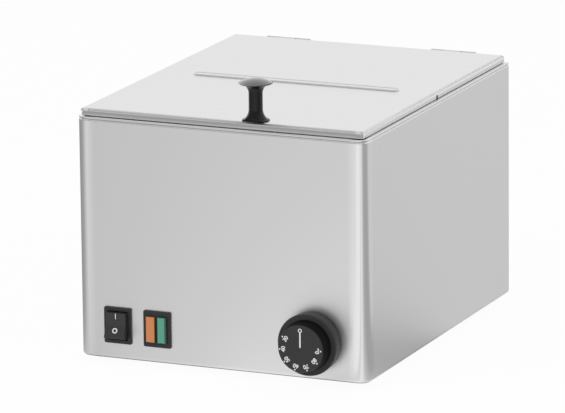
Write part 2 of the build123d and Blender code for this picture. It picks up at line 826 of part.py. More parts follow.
# Switch: housing, blades and the rocker, which rests pressed in at its upper end
switch_blade_part = blade_set(2, blade_pitch_x, 2, blade_pitch_z, socket_floor)
lamp_blade_part = blade_set(1, blade_pitch_x, 3, blade_spacing, socket_floor)
rocker_pivot_y = front_y - bezel_thickness - rocker_proud + rocker_pivot_lead * cos(radians(rocker_tilt))
with BuildPart() as switch_housing:
    with Locations(front_plane(switch_x, front_y, bezel_z)):
        add(panel_housing(window_width, window_height, switch_blade_part))
    with BuildSketch(Plane.YZ.offset(switch_x)):
        with Locations((rocker_pivot_y, bezel_z)):
            Circle(rocker_pin / 2 + rocker_pin_fit)
    extrude(amount=window_width / 2 + 0.9 * socket_wall, both=True, mode=Mode.SUBTRACT)
keep(switch_housing, "switch_housing")

with BuildPart() as switch_blades:
    with Locations(front_plane(switch_x, front_y, bezel_z)):
        add(switch_blade_part)
keep(switch_blades, "switch_blades")

tilt_sin = sin(radians(rocker_tilt))
tilt_cos = cos(radians(rocker_tilt))
facet_tip = (-rocker_pivot_lead - rocker_facet * tilt_sin, rocker_facet * tilt_cos)
rim_tip = (facet_tip[0] + rocker_rim * tilt_cos, facet_tip[1] + rocker_rim * tilt_sin)
rocker_plane = Plane(origin=(switch_x, rocker_pivot_y, bezel_z), x_dir=(0, tilt_cos, -tilt_sin),
                     z_dir=(1, 0, 0))
with BuildPart() as switch_rocker:
    with BuildSketch(rocker_plane):
        with BuildLine():
            Polyline((-rocker_pivot_lead, 0), facet_tip, rim_tip, (rocker_back, rocker_back_height / 2),
                     (rocker_back, 0))
            mirror(about=Plane.XZ)
        make_face()
    extrude(amount=window_width / 2 - rocker_gap, both=True)
    with BuildSketch(rocker_plane):
        Circle(rocker_pin / 2)
    extrude(amount=window_width / 2 - rocker_gap + rocker_pin_length, both=True)
keep(switch_rocker, "switch_rocker")

# Twin lamp: housing with a rib, two bevelled lenses and a neon behind each
lens_width = (lamp_window_width - lens_rib) / 2 - 2 * lens_gap
lens_height = lamp_window_height - 2 * lens_gap
lens_x = (lamp_window_width + lens_rib) / 4
with BuildPart() as lamp_housing:
    with Locations(front_plane(lamp_x, front_y, bezel_z)):
        add(panel_housing(lamp_window_width, lamp_window_height, lamp_blade_part))
    with BuildSketch(front_plane(lamp_x, front_y - bezel_thickness, bezel_z)):
        Rectangle(lens_rib, lamp_window_height)
    extrude(amount=-(bezel_thickness + socket_depth - socket_floor))
keep(lamp_housing, "lamp_housing")

with BuildPart() as lamp_blades:
    with Locations(front_plane(lamp_x, front_y, bezel_z)):
        add(lamp_blade_part)
keep(lamp_blades, "lamp_blades")

with BuildPart() as lens:
    with BuildSketch():
        Rectangle(lens_width, lens_height)
    extrude(amount=-(lens_depth - lens_bevel_depth))
    with BuildSketch():
        Rectangle(lens_width, lens_height)
    with BuildSketch(Plane.XY.offset(lens_bevel_depth)):
        Rectangle(lens_width - 2 * lens_bevel_side, lens_height - 2 * lens_bevel_end)
    loft(ruled=True)
    fillet(lens.faces().sort_by(Axis.Z)[-1].edges(), lens_edge_radius)

lens_y = front_y - bezel_thickness - lens_proud + lens_bevel_depth
for side, name in ((-1, "amber_lens"), (1, "green_lens")):
    with BuildPart() as placed_lens:
        with Locations(front_plane(lamp_x + side * lens_x, lens_y, bezel_z)):
            add(lens.part)
    keep(placed_lens, name)

with BuildPart() as lamp_neons:
    neon_end = front_y + socket_depth - socket_floor
    with BuildSketch(front_plane(lamp_x, neon_end, bezel_z)):
        with GridLocations(2 * lens_x, 0, 2, 1):
            Circle(neon_diameter / 2)
    extrude(amount=neon_length)
keep(lamp_neons, "lamp_neons")

# Thermostat: body with a bushing hole for the shaft, screwed plate and blades
with BuildPart() as thermostat_plate_part:
    with BuildSketch(back_plane(dial_x, panel_inside, dial_z)):
        RectangleRounded(thermostat_plate_width, thermostat_plate_height, thermostat_corner)
        Circle(shaft / 2 + shaft_fit, mode=Mode.SUBTRACT)
        with GridLocations(thermostat_screw_spacing, 0, 2, 1):
            Circle(thermostat_screw / 2, mode=Mode.SUBTRACT)
    extrude(amount=thermostat_plate)
keep(thermostat_plate_part, "thermostat_plate")

thermostat_front = panel_inside + thermostat_plate
thermostat_back = thermostat_front + thermostat_depth
with BuildPart() as thermostat_blades:
    with BuildSketch(back_plane(dial_x, thermostat_back, dial_z)):
        with GridLocations(thermostat_width / 2, 0, 2, 1):
            Rectangle(blade_thickness, blade_width)
    extrude(amount=blade_length)
    extrude(thermostat_blades.faces().sort_by(Axis.Y)[:2], amount=socket_floor)
keep(thermostat_blades, "thermostat_blades")

with BuildPart() as thermostat_body:
    with BuildSketch(back_plane(dial_x, thermostat_front, dial_z)):
        RectangleRounded(thermostat_width, thermostat_height, thermostat_corner)
    extrude(amount=thermostat_depth)
    with BuildSketch(back_plane(dial_x, thermostat_front, dial_z)):
        Circle(shaft / 2 + shaft_fit)
    extrude(amount=shaft_depth + 2 * shaft_fit, mode=Mode.SUBTRACT)
    with BuildSketch(back_plane(dial_x, thermostat_front, dial_z)):
        with GridLocations(thermostat_screw_spacing, 0, 2, 1):
            Circle(thermostat_screw / 2)
    extrude(amount=thermostat_screw_depth, mode=Mode.SUBTRACT)
    add(thermostat_blades.part, mode=Mode.SUBTRACT)
keep(thermostat_body, "thermostat_body")

thermostat_screw_length = sheet + thermostat_plate + thermostat_screw_depth
thermostat_screw_part = screw(thermostat_screw, thermostat_screw_length, thermostat_screw_head,
                              thermostat_screw_head_height)
with BuildPart() as thermostat_screws:
    with Locations(*[
        front_plane(dial_x + side * thermostat_screw_spacing / 2, front_y, dial_z)
        for side in (-1, 1)
    ]):
        add(thermostat_screw_part)
keep(thermostat_screws, "thermostat_screws")

# Dial: a hollow skirted knob on a D-shaped shaft
shaft_tip = dial_reach - shaft_seat
body_radius = dial_body / 2
skirt_front = dial_gap + dial_skirt_thickness
with BuildPart() as thermostat_dial:
    add(turned([(0, dial_gap), (dial_skirt_back / 2, dial_gap),
                (dial_skirt / 2, skirt_front - dial_skirt_fall),
                (dial_skirt / 2 - dial_skirt_fall, skirt_front), (body_radius, skirt_front),
                (dial_face / 2, dial_reach), (0, dial_reach)]))
    fillet(thermostat_dial.faces().sort_by(Axis.Z)[-1].edges(), dial_edge_radius)
    add(turned([(0, dial_gap), (body_radius - dial_wall, dial_gap),
                (dial_face / 2 - dial_wall, dial_reach - dial_wall), (0, dial_reach - dial_wall)]),
        mode=Mode.SUBTRACT)
    with BuildSketch(Plane.XY.offset(dial_gap)):
        Circle(dial_hub / 2)
    extrude(amount=dial_reach - dial_gap - dial_wall / 2)
    with BuildSketch(Plane.XY.offset(dial_gap)):
        Circle(shaft / 2)
        with Locations((0, shaft / 2 - shaft_flat)):
            Rectangle(shaft, shaft, align=(Align.CENTER, Align.MIN), mode=Mode.SUBTRACT)
    extrude(amount=shaft_tip - dial_gap, mode=Mode.SUBTRACT)
thermostat_dial.part = front_plane(dial_x, front_y, dial_z).location * thermostat_dial.part
keep(thermostat_dial, "thermostat_dial")

with BuildPart() as thermostat_shaft:
    with BuildSketch(Plane.XY.offset(-sheet - thermostat_plate - shaft_depth)):
        Circle(shaft / 2)
    extrude(amount=sheet + thermostat_plate + shaft_depth + shaft_tip)
    with BuildSketch(Plane.XY.offset(dial_gap)):
        with Locations((0, shaft / 2 - shaft_flat)):
            Rectangle(shaft, shaft, align=(Align.CENTER, Align.MIN))
    extrude(amount=shaft_tip, mode=Mode.SUBTRACT)
thermostat_shaft.part = front_plane(dial_x, front_y, dial_z).location * thermostat_shaft.part
keep(thermostat_shaft, "thermostat_shaft")

# Heater: a tubular element pressed against the basin's floor by a plate on four studs
element_z = basin_underside - element_contact - element_tube / 2
element_front = middle_y - element_length / 2
terminal_x = element_terminal_gap / 2
with BuildPart() as heating_element:
    with BuildLine():
        for side in (-1, 1):
            drop = FilletPolyline((side * (terminal_x + 2 * element_turn_down), element_front, element_z),
                                  (side * terminal_x, element_front, element_z),
                                  (side * terminal_x, element_front, element_z - element_terminal_drop),
                                  radius=element_turn_down)
        FilletPolyline((-terminal_x - 2 * element_turn_down, element_front, element_z),
                       (-element_width / 2, element_front, element_z),
                       (-element_width / 2, middle_y + element_length / 2, element_z),
                       (element_width / 2, middle_y + element_length / 2, element_z),
                       (element_width / 2, element_front, element_z),
                       (terminal_x + 2 * element_turn_down, element_front, element_z),
                       radius=element_bend)
    with BuildSketch(Plane.XY.offset(element_z - element_terminal_drop)):
        with Locations((terminal_x, element_front)):
            Circle(element_tube / 2)
    sweep()
keep(heating_element, "heating_element")

with BuildPart() as element_pins:
    with BuildSketch(Plane.XY.offset(element_z - element_terminal_drop)):
        with Locations((-terminal_x, element_front), (terminal_x, element_front)):
            Circle(element_pin / 2)
    extrude(amount=-element_pin_length)
keep(element_pins, "element_pins")

# Clamp plate with its welded studs and nuts, and a hole for the safety cut-out
clamp_top = element_z - element_tube / 2
clamp_bottom = clamp_top - clamp_thickness
stud_end = clamp_bottom - nut_height - stud_past_nut
cutout_y = middle_y + cutout_back
with BuildPart() as clamp_plate:
    with BuildSketch(Plane.XY.offset(clamp_bottom)):
        with Locations((0, middle_y)):
            RectangleRounded(clamp_width, clamp_length, clamp_corner)
            with GridLocations(stud_spacing_x, stud_spacing_y, 2, 2):
                Circle(stud / 2 + cutout_gap, mode=Mode.SUBTRACT)
        with Locations((0, cutout_y)):
            Circle(cutout_clearance / 2, mode=Mode.SUBTRACT)
    extrude(amount=clamp_thickness)
keep(clamp_plate, "clamp_plate")

with BuildPart() as heater_studs:
    with BuildSketch(Plane.XY.offset(stud_end)):
        with Locations((0, middle_y)):
            with GridLocations(stud_spacing_x, stud_spacing_y, 2, 2):
                Circle(stud / 2)
    extrude(amount=basin_underside - stud_end)
keep(heater_studs, "heater_studs")

with BuildPart() as heater_nuts:
    with Locations((0, middle_y, clamp_bottom - nut_height)):
        with GridLocations(stud_spacing_x, stud_spacing_y, 2, 2):
            add(nut(stud, nut_across, nut_height))
keep(heater_nuts, "heater_nuts")

# Safety cut-out: a bimetal disc housing against the basin's floor, with two blades
cutout_bottom = basin_underside - cutout_flange_thickness - cutout_height
with BuildPart() as safety_cutout:
    with Locations((0, cutout_y, cutout_bottom)):
        add(turned([(0, 0), (cutout_body / 2, 0), (cutout_body / 2, cutout_height),
                    (cutout_flange / 2, cutout_height),
                    (cutout_flange / 2, cutout_height + cutout_flange_thickness),
                    (0, cutout_height + cutout_flange_thickness)]))
    with BuildSketch(Plane.XY.offset(cutout_bottom)):
        with Locations((0, cutout_y)):
            with GridLocations(cutout_body / 2, 0, 2, 1):
                Rectangle(blade_thickness, blade_width)
    extrude(amount=-blade_length)
keep(safety_cutout, "safety_cutout")

# Sensor: a bulb under the basin's floor and its capillary to the thermostat
bulb_z = basin_underside - bulb / 2
bulb_tip_y = middle_y - bulb_front
capillary_turn_y = bulb_tip_y - capillary_straight
with BuildPart() as sensor_bulb:
    with BuildSketch(front_plane(0, bulb_tip_y, bulb_z)):
        Circle(bulb / 2)
    extrude(amount=-bulb_length)
    fillet(sensor_bulb.faces().sort_by(Axis.Y)[-1].edges(), 0.45 * bulb)
    with BuildLine():
        FilletPolyline((0, bulb_tip_y, bulb_z), (0, capillary_turn_y, bulb_z),
                       (dial_x, thermostat_back + capillary_lead, dial_z), (dial_x, thermostat_back, dial_z),
                       radius=capillary_bend)
    with BuildSketch(front_plane(0, bulb_tip_y, bulb_z)):
        Circle(capillary / 2)
    sweep()
keep(sensor_bulb, "sensor_bulb")

clip_radius = bulb / 2 + bulb_clip_thickness
with BuildPart() as bulb_clip:
    with BuildSketch(front_plane(0, bulb_tip_y + bulb_length / 2, 0)):
        with Locations((0, bulb_z)):
            Circle(clip_radius)
        with Locations((0, basin_underside)):
            Rectangle(2 * clip_radius, bulb / 2, align=(Align.CENTER, Align.MAX))
            Rectangle(2 * (clip_radius + bulb_clip_tab), bulb_clip_thickness,
                      align=(Align.CENTER, Align.MAX))
            Rectangle(bulb, bulb / 2, align=(Align.CENTER, Align.MAX), mode=Mode.SUBTRACT)
            Rectangle(bulb, bulb, align=(Align.CENTER, Align.MIN), mode=Mode.SUBTRACT)
        with Locations((0, bulb_z)):
            Circle(bulb / 2, mode=Mode.SUBTRACT)
    extrude(amount=bulb_clip_width / 2, both=True)
keep(bulb_clip, "bulb_clip")

# Basket: a flat perforated floor and four slotted walls with a turned-out lip
wall_rise = basin_depth - basket_rise
basin_inset = wall_rise * tan(radians(basin_draft)) + basket_side_gap
basket_width = basin_width - 2 * basin_inset
basket_length = basin_length - 2 * basin_inset
basket_corner = basin_corner - basin_inset
basket_floor = basin_floor + basket_rise
basket_top = basket_floor + basket_height
slot_z = basket_floor + basket_height / 2
hole_pitch_x = (basket_width - 2 * basket_hole_side) / (basket_holes_across - 1)
hole_pitch_y = (basket_length - 2 * basket_hole_end) / (basket_holes_along - 1)
slot_pitch_side = (basket_length - 2 * basket_slot_side) / (basket_slots_side - 1)
slot_pitch_end = (basket_width - 2 * basket_slot_end) / (basket_slots_end - 1)
side_run = basket_length - 2 * basket_corner - 2 * basket_seam
end_run = basket_width - 2 * basket_corner - 2 * basket_seam
floor_inset = basket_wall + basket_seam

with BuildPart() as perforated_basket:
    for level, height, lip in ((basket_floor, basket_height, 0),
                               (basket_top - basket_wall, basket_wall, basket_lip)):
        with BuildSketch(Plane.XY.offset(level)):
            with Locations((0, middle_y)):
                Rectangle(basket_width + 2 * lip, side_run)
                Rectangle(end_run, basket_length + 2 * lip)
                Rectangle(basket_width - 2 * basket_wall, basket_length - 2 * basket_wall, mode=Mode.SUBTRACT)
        extrude(amount=height)
    with BuildSketch(Plane.XZ.offset(-middle_y)):
        with Locations((0, slot_z)):
            with GridLocations(slot_pitch_end, 0, basket_slots_end, 1):
                SlotOverall(basket_slot_length, basket_slot_width, rotation=90)
    extrude(amount=basket_length, both=True, mode=Mode.SUBTRACT)
    with BuildSketch(Plane.YZ):
        with Locations((middle_y, slot_z)):
            with GridLocations(slot_pitch_side, 0, basket_slots_side, 1):
                SlotOverall(basket_slot_length, basket_slot_width, rotation=90)
    extrude(amount=basket_width, both=True, mode=Mode.SUBTRACT)
    with BuildSketch(Plane.XY.offset(basket_floor)):
        with Locations((0, middle_y)):
            RectangleRounded(basket_width - 2 * floor_inset, basket_length - 2 * floor_inset,
                             basket_corner - floor_inset)
            with GridLocations(hole_pitch_x, hole_pitch_y, basket_holes_across, basket_holes_along):
                Circle(basket_hole / 2, mode=Mode.SUBTRACT)
    extrude(amount=basket_wall)
keep(perforated_basket, "perforated_basket")

# Bent strips that join the walls at the basket's corners
corner_x = basket_width / 2 - basket_corner
corner_y = basket_length / 2 - basket_corner
with BuildPart() as basket_corners:
    for level, height, lip in ((basket_floor, basket_height, 0),
                               (basket_top - basket_wall, basket_wall, basket_lip)):
        with BuildSketch(Plane.XY.offset(level)):
            with Locations((corner_x, middle_y + corner_y)):
                Circle(basket_corner + lip)
                Circle(basket_corner - basket_wall, mode=Mode.SUBTRACT)
                Rectangle(2 * basket_corner, 2 * basket_corner, align=(Align.MIN, Align.MIN),
                          mode=Mode.INTERSECT)
        extrude(amount=height)
    mirror(about=Plane.YZ)
    mirror(about=Plane.XZ.offset(-middle_y))
keep(basket_corners, "basket_corners")

with BuildPart() as basket_feet:
    with BuildSketch(Plane.XY.offset(basin_floor)):
        with Locations((0, middle_y)):
            with GridLocations(basket_foot_spacing_x, basket_foot_spacing_y, 2, 2):
                Circle(basket_foot / 2)
    extrude(amount=basket_rise)
keep(basket_feet, "basket_feet")

# Divider across the basket, held by two strips on each side wall
divider_bottom = basket_floor + basket_wall
with BuildPart() as basket_divider:
    with BuildSketch(Plane.XY.offset(divider_bottom)):
        with Locations((0, middle_y)):
            Rectangle(basket_width - 2 * basket_wall - 2 * divider_gap, divider_thickness)
    extrude(amount=divider_height)
    chamfer(basket_divider.edges().filter_by(Axis.Y).group_by(Axis.Z)[0], divider_nip)
    with BuildSketch(Plane.XY.offset(divider_bottom + divider_height)):
        with Locations((0, middle_y - divider_thickness / 2)):
            Rectangle(basket_width - 2 * guide_depth - 4 * divider_gap, divider_fold,
                      align=(Align.CENTER, Align.MIN))
    extrude(amount=divider_thickness)
keep(basket_divider, "basket_divider")

guide_step = divider_thickness / 2 + divider_gap + guide_thickness / 2
with BuildPart() as divider_guides:
    with BuildSketch(Plane.XY.offset(divider_bottom + divider_nip)):
        with Locations((0, middle_y)):
            with GridLocations(basket_width - 2 * basket_wall - guide_depth, 2 * guide_step, 2, 2):
                Rectangle(guide_depth, guide_thickness)
    extrude(amount=divider_height - 2 * divider_nip)
keep(divider_guides, "divider_guides")

# Handles: one bent wire inside each end wall
handle_y = basket_length / 2 - basket_wall - handle_wire / 2
handle_top = basket_top + handle_rise
handle_foot = basket_top - handle_leg
with BuildPart() as handle:
    with BuildLine():
        FilletPolyline((-handle_width / 2, 0, handle_foot), (-handle_width / 2, 0, handle_top),
                       (handle_width / 2, 0, handle_top), (handle_width / 2, 0, handle_foot),
                       radius=handle_bend)
    with BuildSketch(Plane.XY.offset(handle_foot)):
        with Locations((-handle_width / 2, 0)):
            Circle(handle_wire / 2)
    sweep()

with BuildPart() as basket_handles:
    with Locations((0, middle_y - handle_y, 0), (0, middle_y + handle_y, 0)):
        add(handle.part)
keep(basket_handles, "basket_handles")

# Mains entry: a cable gland through the rear panel, and its nut inside
gland_face = back_y + sheet
with BuildPart() as cable_gland:
    with Locations(back_plane(gland_x, gland_face, gland_z)):
        add(turned([(gland_bore / 2, -gland_inner_length), (gland_thread / 2, -gland_inner_length),
                    (gland_thread / 2, 0), (gland_flange / 2, 0),
                    (gland_flange / 2, gland_flange_thickness), (gland_dome / 2, gland_flange_thickness),
                    (gland_dome / 2, gland_stand_out - gland_dome_radius),
                    (gland_dome / 2 - gland_dome_radius, gland_stand_out),
                    (gland_bore / 2, gland_stand_out)]))
keep(cable_gland, "cable_gland")

with BuildPart() as gland_nut:
    with Locations(back_plane(gland_x, back_y - gland_nut_height, gland_z)):
        add(nut(gland_thread, gland_nut_across, gland_nut_height))
keep(gland_nut, "gland_nut")

# Terminal block on the base plate, with a pair of screws for each pole
block_x = gland_x + block_beside_gland
block_y = back_y - block_in - block_length / 2
with BuildPart() as terminal_block:
    with BuildSketch(Plane.XY.offset(case_bottom)):
        with Locations((block_x, block_y)):
            Rectangle(block_width, block_length)
    extrude(amount=block_height)
    with BuildSketch(Plane.XZ.offset(-block_y)):
        with Locations((block_x, case_bottom + block_bore)):
            with GridLocations(block_width / block_poles, 0, block_poles, 1):
                Circle(block_bore / 2)
    extrude(amount=block_length, both=True, mode=Mode.SUBTRACT)
    with BuildSketch(Plane.XY.offset(case_bottom + block_height)):
        with Locations((block_x, block_y)):
            with GridLocations(block_width / block_poles, block_length / 2, block_poles, 2):
                Circle(block_screw_head / 2)
    extrude(amount=-(block_height - 2 * block_bore), mode=Mode.SUBTRACT)
keep(terminal_block, "terminal_block")

with BuildPart() as terminal_screws:
    with BuildSketch(Plane.XY.offset(case_bottom + 2 * block_bore)):
        with Locations((block_x, block_y)):
            with GridLocations(block_width / block_poles, block_length / 2, block_poles, 2):
                Circle(block_screw_head / 2)
                Rectangle(block_screw_head, block_screw_slot, mode=Mode.SUBTRACT)
    extrude(amount=block_screw)
    with BuildSketch(Plane.XY.offset(case_bottom + 2 * block_bore)):
        with Locations((block_x, block_y)):
            with GridLocations(block_width / block_poles, block_length / 2, block_poles, 2):
                Circle(block_screw_head / 2)
    extrude(amount=block_screw / 2)
keep(terminal_screws, "terminal_screws")

# Earth stud and nut
earth_x = block_x + earth_from_block
with BuildPart() as earth_stud:
    with BuildSketch(Plane.XY.offset(case_bottom)):
        with Locations((earth_x, block_y)):
            Circle(earth_stud_diameter / 2)
    extrude(amount=earth_stud_height)
keep(earth_stud, "earth_stud")

with BuildPart() as earth_nut:
    with Locations((earth_x, block_y, case_bottom + sheet)):
        add(nut(earth_stud_diameter, foot_nut_across, nut_height))
keep(earth_nut, "earth_nut")
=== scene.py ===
import json
from math import atan2, cos, pi, prod, radians, sin

import bpy
from mathutils import Matrix, Vector


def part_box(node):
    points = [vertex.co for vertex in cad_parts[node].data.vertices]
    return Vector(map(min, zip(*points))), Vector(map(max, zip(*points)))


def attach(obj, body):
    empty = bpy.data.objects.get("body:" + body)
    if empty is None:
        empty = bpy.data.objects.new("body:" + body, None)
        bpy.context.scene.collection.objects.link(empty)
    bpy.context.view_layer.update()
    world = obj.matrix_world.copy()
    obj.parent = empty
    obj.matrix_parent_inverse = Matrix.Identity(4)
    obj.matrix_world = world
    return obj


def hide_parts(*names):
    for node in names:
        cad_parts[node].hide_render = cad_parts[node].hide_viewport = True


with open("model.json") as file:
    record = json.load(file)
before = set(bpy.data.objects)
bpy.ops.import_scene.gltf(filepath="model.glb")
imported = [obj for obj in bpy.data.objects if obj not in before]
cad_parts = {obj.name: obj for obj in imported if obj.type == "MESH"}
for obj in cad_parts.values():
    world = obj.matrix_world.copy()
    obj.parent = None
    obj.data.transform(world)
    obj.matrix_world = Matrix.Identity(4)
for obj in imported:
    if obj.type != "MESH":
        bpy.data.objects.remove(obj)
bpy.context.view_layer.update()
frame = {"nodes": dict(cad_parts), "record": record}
nodes = frame["nodes"]
MM = 0.001

# Points nearer than this are taken as being in one place, and nearer than WELD they become one
NEAR = 0.05 * MM
WELD = 1e-6

# Places read from the frame
case_low, case_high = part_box("casing_shell")
dial_low, dial_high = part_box("thermostat_dial")
rocker_low, rocker_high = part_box("switch_rocker")
lid_low, lid_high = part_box("lid_panel")
knob_low, knob_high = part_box("lid_knob")
dial_centre = (dial_low + dial_high) / 2
rocker_centre = (rocker_low + rocker_high) / 2
knob_centre = (knob_low + knob_high) / 2

# Camera, fitted to the edges of the case and the lid
VIEW_AZIMUTH = radians(23.52)
VIEW_ELEVATION = radians(13.72)
VIEW_ROLL = radians(0.61)
CAMERA_FROM_CORNER = Vector((2.1509, -4.4733, 1.3490))
FOCAL_PIXELS = 5607.0
PICTURE_WIDTH = 565.0
SENSOR = 36.0
CLIP_END = 100.0


def add_camera():
    """The photograph's view, given as a turn about the object, a height angle and a slight roll."""
    back = Vector((sin(VIEW_AZIMUTH) * cos(VIEW_ELEVATION), -cos(VIEW_AZIMUTH) * cos(VIEW_ELEVATION),
                   sin(VIEW_ELEVATION)))
    right = (-back).cross(Vector((0, 0, 1))).normalized()
    up = back.cross(right)
    level = Matrix((right, up, back)).transposed().to_4x4()
    data = bpy.data.cameras.new("camera")
    data.sensor_width = SENSOR
    data.lens = SENSOR * FOCAL_PIXELS / PICTURE_WIDTH
    data.clip_end = CLIP_END
    camera = bpy.data.objects.new("camera", data)
    bpy.context.scene.collection.objects.link(camera)
    camera.matrix_world = (Matrix.Translation(case_low + CAMERA_FROM_CORNER) @ level
                           @ Matrix.Rotation(-VIEW_ROLL, 4, "Z"))
    bpy.context.scene.camera = camera


class Value:
    """A socket that takes part in sums: each sum adds a Math node."""

    def __init__(self, shade, socket):
        self.shade = shade
        self.socket = socket

    def math(self, operation, *others):
        """Add a Math node whose first value is this one."""
        return self.shade.node("ShaderNodeMath", {"operation": operation},
                               dict(enumerate((self, *others))))

    def __add__(self, other):
        return self.math("ADD", other)

    def __sub__(self, other):
        return self.math("SUBTRACT", other)

    def __mul__(self, other):
        return self.math("MULTIPLY", other)

    __radd__ = __add__
    __rmul__ = __mul__


class Shade:
    """A material or the world under construction, with one method that adds any node."""

    def __init__(self, name, owners=None):
        self.owner = (bpy.data.materials if owners is None else owners).new(name)
        self.owner.use_nodes = True
        self.tree = self.owner.node_tree
        self.tree.nodes.clear()
        self.place = self.node("ShaderNodeTexCoord", output="Object")

    def node(self, kind, settings=None, values=None, output=0):
        """Add a node, set its settings, fill or link its sockets and return one of its outputs."""
        made = self.tree.nodes.new(kind)
        for name, setting in (settings or {}).items():
            if name == "stops":
                ramp = made.color_ramp
                for index, (position, colour) in enumerate(setting):
                    stop = ramp.elements[index] if index < 2 else ramp.elements.new(position)
                    stop.position = position
                    stop.color = colour
            else:
                setattr(made, name, setting)
        for name, value in (values or {}).items():
            socket = made.inputs[name]
            if isinstance(value, Value):
                self.tree.links.new(value.socket, socket)
            else:
                socket.default_value = value
        return Value(self, made.outputs[output]) if made.outputs else made

    def axis(self, name, place=None):
        """The X, Y or Z of a place, which is the point on the object if none is given."""
        return self.node("ShaderNodeSeparateXYZ", {}, {"Vector": place or self.place}, output=name)

    def rise(self, value, start, stop):
        """0 as far as start, 1 from stop on, and even in between; start may be above stop."""
        return self.node("ShaderNodeMapRange", {"clamp": True}, {"Value": value, 1: start, 2: stop})

    def stretched(self, scale):
        """Object coordinates scaled by a different factor along each axis."""
        return self.node("ShaderNodeMapping", {}, {"Vector": self.place, "Scale": scale})

    def noise(self, place, scale, detail=4.0, roughness=0.5):
        """Soft random levels from 0 to 1."""
        return self.node("ShaderNodeTexNoise", {},
                         {"Vector": place, "Scale": scale, "Detail": detail, "Roughness": roughness})

    def between(self, factor, low, high):
        """A colour between two others."""
        return self.node("ShaderNodeMix", {"data_type": "RGBA"},
                         {0: factor, 6: low, 7: high}, output=2)

    def bump(self, height, strength, distance, normal=None):
        """A shading normal tilted by a height, on the surface's own normal or a given one."""
        values = {"Height": height, "Strength": strength, "Distance": distance}
        if normal:
            values["Normal"] = normal
        return self.node("ShaderNodeBump", {}, values)

    def finish(self, **sockets):
        """Close the material with a Principled shader, its sockets named with underscores."""
        values = {name.replace("_", " "): value for name, value in sockets.items()}
        surface = self.node("ShaderNodeBsdfPrincipled", {}, values)
        self.node("ShaderNodeOutputMaterial", {}, {"Surface": surface})
        return self.owner


def grey(level):
    """An opaque grey."""
    return (level, level, level, 1.0)


def tinted(colour, factor):
    """An opaque colour made lighter or darker by a factor."""
    return tuple(min(1.0, factor * c) for c in colour) + (1.0,)


# Steel: how far brushing moves its level and its roughness, and how deep it is
ALONG_X = (14.0, 900.0, 900.0)
STEEL_SPREAD = 0.012
BRUSH_ROUGHER = 0.04
BRUSH_BUMP = 0.012
BRUSH_DEPTH = 0.2 * MM

# Basin and basket: even cloudiness instead of brushing
BASIN_GRAIN = (200.0, 200.0, 200.0)
BASKET_GRAIN = (240.0, 240.0, 240.0)

# The lid's rolled edge: how much its normal leans up at the foot and at the head, and its height
LEAN_FOOT = 0.13
LEAN_HEAD = 0.6
LEAN_HEIGHT = 5.4 * MM

# The case's bent corners: their reach along each wall, and how much smoother they are
CORNER = 9.0 * MM
BEND_SMOOTHER = 0.3

# Painted shade along the case's foot: its height, its level, and how much of that level shows
FOOT_SHADE_HEIGHT = 0.8 * MM
FOOT_SHADE_LEVEL = 0.1
FOOT_SHADE_STRENGTH = 0.9

# Plastic: its grain and clouding, and the glossy coat on the knob's head
FINE_GRAIN = 900.0
GRAIN_BUMP = 0.08
GRAIN_DEPTH = 0.1 * MM
CLOUD_SCALE = 30.0
CLOUD_ROUGHER = 0.1
COAT_ROUGHNESS = 0.05
COAT_IOR = 2.3

# The dial: depth of its front edge and of the skirt against the panel, and its levels, the wall's dark
# level being painted shade
DIAL_EDGE = 0.8 * MM
DIAL_SKIRT = 12.9 * MM
DIAL_DARK = 0.044
DIAL_LIGHT = 0.05
DIAL_WALL_SHADE = 0.002
DIAL_ROUGHNESS = 0.34
DIAL_WALL_ROUGHER = 0.26
DIAL_CLOUD_ROUGHER = 0.06

# The lenses: depth of tint of their sides, how soft the change to the face is, the side at the
# top, the ribs behind the face, and a faint painted glow of their own
LENS_DEEP = 0.16
LENS_FADE = 0.25 * MM
LENS_TOP = 0.5 * MM
LENS_RIBS = 320.0
LENS_PAINTED_GLOW = 0.12


def case_corner(shade):
    """1 on the case's two bent front corners, where the sheet is smoother, and 0 elsewhere."""
    out = shade.rise(shade.axis("X").math("ABSOLUTE"), case_high.x - 2 * CORNER, case_high.x - CORNER)
    front = shade.rise(shade.axis("Y"), case_low.y + 2 * CORNER, case_low.y + CORNER)
    return out * front


def brushed_steel(name, level, grain, roughness=0.28, leans_below=None, smooth_bends_and_foot_shade=False):
    """Stainless steel: fine brushing along the axis that grain stretches least, with faint clouding.
    An edge below a height can lean up, as a rolled one does, and the case's bent corners can be
    smoother, with painted shade darkening a thin band along its foot."""
    shade = Shade(name)
    lines = shade.noise(shade.stretched(grain), 1.0, 3.0, 0.6)
    cloud = shade.noise(shade.place, 9.0, 2.0)
    tone = 0.7 * lines + 0.3 * cloud
    colour = shade.between(tone, grey(level - STEEL_SPREAD), grey(level + STEEL_SPREAD))
    normal = shade.node("ShaderNodeNewGeometry", output="Normal")
    if leans_below:
        rolled = shade.rise(shade.axis("Z"), leans_below - LEAN_HEIGHT, leans_below)
        lean = shade.node("ShaderNodeCombineXYZ", {}, {"Z": LEAN_FOOT + LEAN_HEAD * (rolled * rolled)})
        leant = shade.node("ShaderNodeVectorMath", {"operation": "ADD"}, {0: normal, 1: lean})
        normal = shade.node("ShaderNodeVectorMath", {"operation": "NORMALIZE"}, {0: leant})
    rough = roughness - BRUSH_ROUGHER / 2 + BRUSH_ROUGHER * lines
    if smooth_bends_and_foot_shade:
        rough = rough - BEND_SMOOTHER * case_corner(shade)
        # Painted shade: a thin band along the case's foot is darkened towards a dark grey
        foot = shade.rise(shade.axis("Z"), case_low.z + 2 * FOOT_SHADE_HEIGHT, case_low.z + FOOT_SHADE_HEIGHT)
        colour = shade.between(FOOT_SHADE_STRENGTH * foot, colour, grey(FOOT_SHADE_LEVEL))
    return shade.finish(Base_Color=colour, Metallic=1.0, Roughness=rough,
                        Normal=shade.bump(lines, BRUSH_BUMP, BRUSH_DEPTH, normal))


